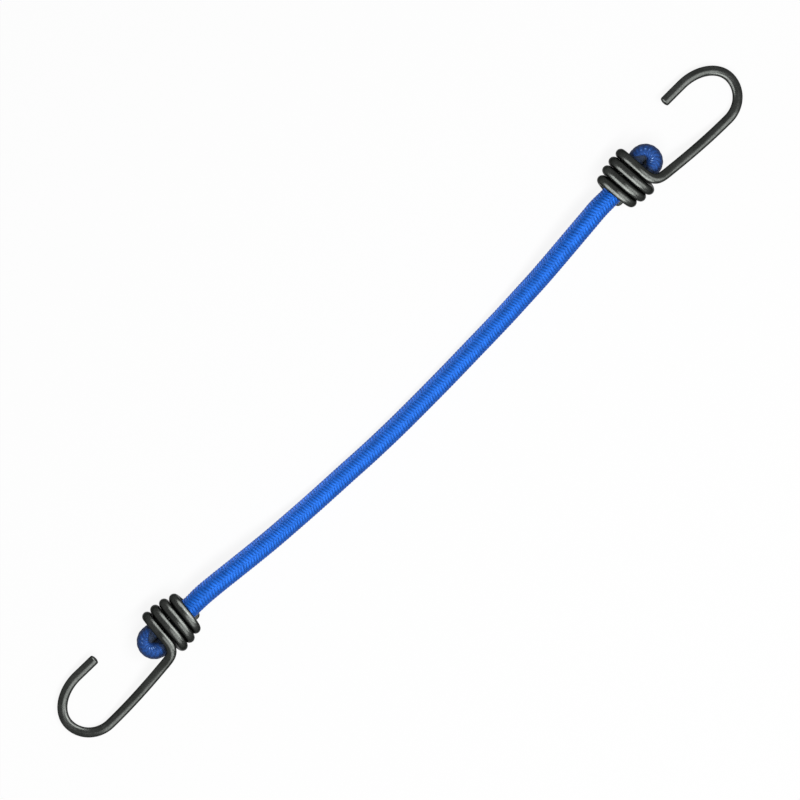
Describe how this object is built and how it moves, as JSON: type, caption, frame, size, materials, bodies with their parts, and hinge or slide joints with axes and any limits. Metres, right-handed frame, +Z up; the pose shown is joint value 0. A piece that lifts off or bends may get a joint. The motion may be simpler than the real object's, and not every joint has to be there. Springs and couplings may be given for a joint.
{
  "type": "bungee cord",
  "caption": "Short elastic cord in a braided sheath, with a conically wound wire hook on each folded end, for tying down loads.",
  "frame": {"origin": "centre of the plan, on the surface that the cord lies on", "axes": "+X along the cord towards the upper hook of the picture, +Y across it towards the open side of the hooks, +Z up from the surface"},
  "size_m": [0.4574, 0.037, 0.0281],
  "materials": {
    "braided_sheath": "tight blue braid of fine yarns, slight sheen",
    "rubber_core": "dusted natural rubber threads",
    "hook_wire": "satin black coating on round steel wire",
    "clip_steel": "dark zinc-plated strip"
  },
  "bodies": {
    "cord_run": {"middle_sheath": "braided_sheath", "middle_strand_1": "rubber_core", "middle_strand_2": "rubber_core", "middle_strand_3": "rubber_core", "middle_strand_4": "rubber_core", "middle_strand_5": "rubber_core", "middle_strand_6": "rubber_core", "middle_strand_7": "rubber_core", "lower_lead_sheath": "braided_sheath", "lower_lead_strand_1": "rubber_core", "lower_lead_strand_2": "rubber_core", "lower_lead_strand_3": "rubber_core", "lower_lead_strand_4": "rubber_core", "lower_lead_strand_5": "rubber_core", "lower_lead_strand_6": "rubber_core", "lower_lead_strand_7": "rubber_core"},
    "lower_cord_end": {"lower_fold_sheath": "braided_sheath", "lower_fold_strand_1": "rubber_core", "lower_fold_strand_2": "rubber_core", "lower_fold_strand_3": "rubber_core", "lower_fold_strand_4": "rubber_core", "lower_fold_strand_5": "rubber_core", "lower_fold_strand_6": "rubber_core", "lower_fold_strand_7": "rubber_core", "lower_clip": "clip_steel"},
    "lower_hook_wire": {"lower_hook": "hook_wire"},
    "upper_cord_lead": {"upper_lead_sheath": "braided_sheath", "upper_lead_strand_1": "rubber_core", "upper_lead_strand_2": "rubber_core", "upper_lead_strand_3": "rubber_core", "upper_lead_strand_4": "rubber_core", "upper_lead_strand_5": "rubber_core", "upper_lead_strand_6": "rubber_core", "upper_lead_strand_7": "rubber_core"},
    "upper_cord_end": {"upper_fold_sheath": "braided_sheath", "upper_fold_strand_1": "rubber_core", "upper_fold_strand_2": "rubber_core", "upper_fold_strand_3": "rubber_core", "upper_fold_strand_4": "rubber_core", "upper_fold_strand_5": "rubber_core", "upper_fold_strand_6": "rubber_core", "upper_fold_strand_7": "rubber_core", "upper_clip": "clip_steel"},
    "upper_hook_wire": {"upper_hook": "hook_wire"}
  },
  "joints": [
    {"name": "lower_flex", "type": "hinge", "parent": "cord_run", "child": "lower_cord_end", "pos_m": [-0.12625, -0.00044, 0.01863], "axis": [0, 0, 1], "range_deg": [-60, 60], "stiffness_Nm_per_rad": 0.03, "deforming": ["lower_lead_sheath", "lower_lead_strand_1", "lower_lead_strand_2", "lower_lead_strand_3", "lower_lead_strand_4", "lower_lead_strand_5", "lower_lead_strand_6", "lower_lead_strand_7"]},
    {"name": "lower_twist", "type": "hinge", "parent": "lower_cord_end", "child": "lower_hook_wire", "pos_m": [-0.14429, 0.00105, 0.01661], "axis": [-0.9851, 0.0189, -0.171], "range_deg": [-180, 180]},
    {"name": "stretch", "type": "slide", "parent": "cord_run", "child": "upper_cord_lead", "axis": [1, 0, 0], "range_m": [0, 0.22], "stiffness_N_per_m": 900, "deforming": ["middle_sheath", "middle_strand_1", "middle_strand_2", "middle_strand_3", "middle_strand_4", "middle_strand_5", "middle_strand_6", "middle_strand_7"]},
    {"name": "upper_flex", "type": "hinge", "parent": "upper_cord_lead", "child": "upper_cord_end", "pos_m": [0.12619, -0.00297, 0.01863], "axis": [0, 0, 1], "range_deg": [-60, 60], "stiffness_Nm_per_rad": 0.03, "deforming": ["upper_lead_sheath", "upper_lead_strand_1", "upper_lead_strand_2", "upper_lead_strand_3", "upper_lead_strand_4", "upper_lead_strand_5", "upper_lead_strand_6", "upper_lead_strand_7"]},
    {"name": "upper_twist", "type": "hinge", "parent": "upper_cord_end", "child": "upper_hook_wire", "pos_m": [0.14431, -0.00225, 0.01661], "axis": [0.9853, 0, -0.171], "range_deg": [-180, 180]}
  ]
}
